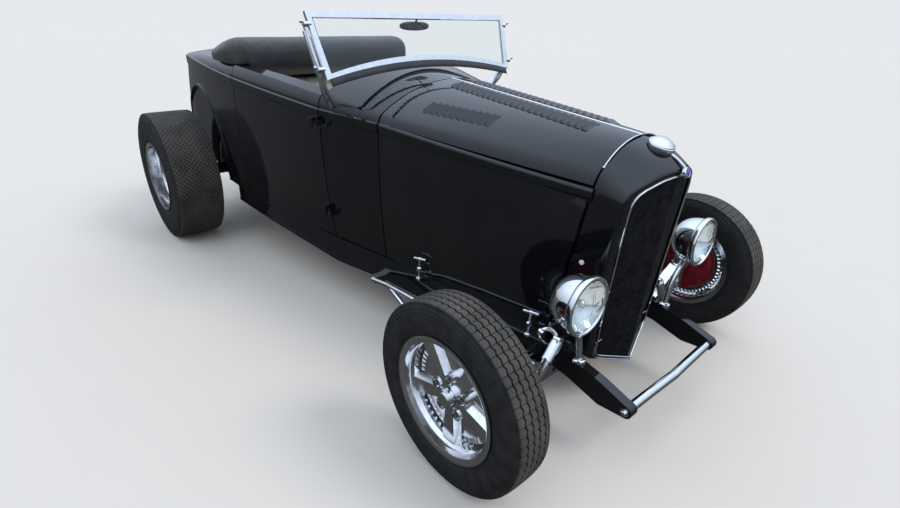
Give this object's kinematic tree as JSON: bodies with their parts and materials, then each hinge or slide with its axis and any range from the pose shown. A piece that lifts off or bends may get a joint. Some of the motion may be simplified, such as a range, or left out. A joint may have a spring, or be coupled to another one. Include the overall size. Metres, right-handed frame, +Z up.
{
  "type": "street rod roadster",
  "caption": "Open two-seat street rod roadster without fenders, with doors, hood panels, a trunk lid, steering and wheels that move.",
  "frame": {"origin": "on the ground in the middle of the car's length and width", "axes": "+Z up, -Y to the nose, +X to the car's left"},
  "size_m": [1.794, 3.6159, 1.3747],
  "materials": {
    "black_paint": "deep gloss clear coat",
    "grille_black": "gloss",
    "chassis_black": "satin",
    "chrome": "mirror plating",
    "silver_tube": "satin silver",
    "steel": "machined",
    "cast_engine": "painted casting",
    "polished_wheel": "polished",
    "tyre_rubber": "matte",
    "clear_glass": "clear",
    "red_lens": "moulded lens",
    "cream_leather": "pleated",
    "black_vinyl": "smooth vinyl cover",
    "wheel_rim_black": "gloss"
  },
  "bodies": {
    "chassis": {"body_rear": "black_paint", "cowl": "black_paint", "crossmember_center": "chassis_black", "crossmember_front": "chassis_black", "crossmember_rear": "chassis_black", "engine": "cast_engine", "exhaust_left": "steel", "exhaust_right": "steel", "floor": "chassis_black", "front_axle": "chrome", "front_shock_left": "silver_tube", "front_shock_right": "silver_tube", "front_spring": "chrome", "fuel_tank": "chassis_black", "grille_insert": "grille_black", "grille_shell": "black_paint", "headlamp_left": "chrome", "headlamp_right": "chrome", "hood_hinge": "chrome", "hood_side_left": "black_paint", "hood_side_right": "black_paint", "lamp_lenses": "clear_glass", "mirror": "chrome", "radiator": "chassis_black", "radiator_cap": "chrome", "radius_rod_left": "chrome", "radius_rod_right": "chrome", "rail_left": "black_paint", "rail_right": "black_paint", "rear_axle": "chassis_black", "rear_suspension_left": "chrome", "rear_suspension_right": "chrome", "seat_back": "cream_leather", "seat_cushion": "cream_leather", "spreader_bar": "chrome", "steering_column": "chrome", "tail_lamps": "red_lens", "top_boot": "black_vinyl", "windshield_frame": "chrome", "windshield_glass": "clear_glass"},
    "knuckle_right": {"knuckle_right": "steel"},
    "knuckle_left": {"knuckle_left": "steel"},
    "tie_rod": {"tie_rod": "chrome"},
    "steering_wheel": {"steering_wheel": "wheel_rim_black"},
    "door_right": {"door_right": "black_paint"},
    "door_left": {"door_left": "black_paint"},
    "hood_top_right": {"hood_top_right": "black_paint"},
    "hood_top_left": {"hood_top_left": "black_paint"},
    "deck_lid": {"deck_lid": "black_paint"},
    "wheel_front_right": {"wheel_front_right": "polished_wheel", "tyre_front_right": "tyre_rubber"},
    "wheel_front_left": {"wheel_front_left": "polished_wheel", "tyre_front_left": "tyre_rubber"},
    "wheel_rear_right": {"wheel_rear_right": "polished_wheel", "tyre_rear_right": "tyre_rubber"},
    "wheel_rear_left": {"wheel_rear_left": "polished_wheel", "tyre_rear_left": "tyre_rubber"}
  },
  "joints": [
    {"name": "steer_right", "type": "hinge", "parent": "chassis", "child": "knuckle_right", "pos_m": [-0.652, -1.454, 0.317], "axis": [0, 0, 1], "range_deg": [-30, 30]},
    {"name": "steer_left", "type": "hinge", "parent": "chassis", "child": "knuckle_left", "pos_m": [0.652, -1.454, 0.317], "axis": [0, 0, 1], "range_deg": [-30, 30]},
    {"name": "tie_rod_swing", "type": "hinge", "parent": "knuckle_right", "child": "tie_rod", "pos_m": [-0.652, -1.324, 0.15], "axis": [0, 0, 1], "range_deg": [-30, 30]},
    {"name": "steering_wheel_turn", "type": "hinge", "parent": "chassis", "child": "steering_wheel", "pos_m": [0.255, 0.076, 1.005], "axis": [0, 0.6428, 0.766], "range_deg": [-300, 300]},
    {"name": "spin_front_right", "type": "hinge", "parent": "knuckle_right", "child": "wheel_front_right", "pos_m": [-0.762, -1.454, 0.317], "axis": [1, 0, 0], "continuous": true},
    {"name": "spin_front_left", "type": "hinge", "parent": "knuckle_left", "child": "wheel_front_left", "pos_m": [0.762, -1.454, 0.317], "axis": [1, 0, 0], "continuous": true},
    {"name": "spin_rear_right", "type": "hinge", "parent": "chassis", "child": "wheel_rear_right", "pos_m": [-0.757, 1.238, 0.395], "axis": [1, 0, 0], "continuous": true},
    {"name": "spin_rear_left", "type": "hinge", "parent": "chassis", "child": "wheel_rear_left", "pos_m": [0.757, 1.238, 0.395], "axis": [1, 0, 0], "continuous": true},
    {"name": "door_right_swing", "type": "hinge", "parent": "chassis", "child": "door_right", "pos_m": [-0.546, -0.235, 0.927], "axis": [-0.0858, 0, 0.9963], "range_deg": [0, 65]},
    {"name": "door_left_swing", "type": "hinge", "parent": "chassis", "child": "door_left", "pos_m": [0.546, -0.235, 0.927], "axis": [-0.0858, 0, -0.9963], "range_deg": [0, 65]},
    {"name": "hood_right_lift", "type": "hinge", "parent": "chassis", "child": "hood_top_right", "pos_m": [0, -1.054, 1.06488], "axis": [0, 0.9955, 0.095], "range_deg": [0, 60]},
    {"name": "hood_left_lift", "type": "hinge", "parent": "chassis", "child": "hood_top_left", "pos_m": [0, -1.054, 1.06488], "axis": [0, -0.9955, -0.095], "range_deg": [0, 60]},
    {"name": "deck_lid_lift", "type": "hinge", "parent": "chassis", "child": "deck_lid", "pos_m": [0, 0.98, 1.184], "axis": [1, 0, 0], "range_deg": [0, 50]}
  ],
  "couplings": [
    {"joint": "steer_left", "follows": "steer_right", "ratio": 1},
    {"joint": "tie_rod_swing", "follows": "steer_right", "ratio": -1},
    {"joint": "steering_wheel_turn", "follows": "steer_right", "ratio": 10}
  ]
}
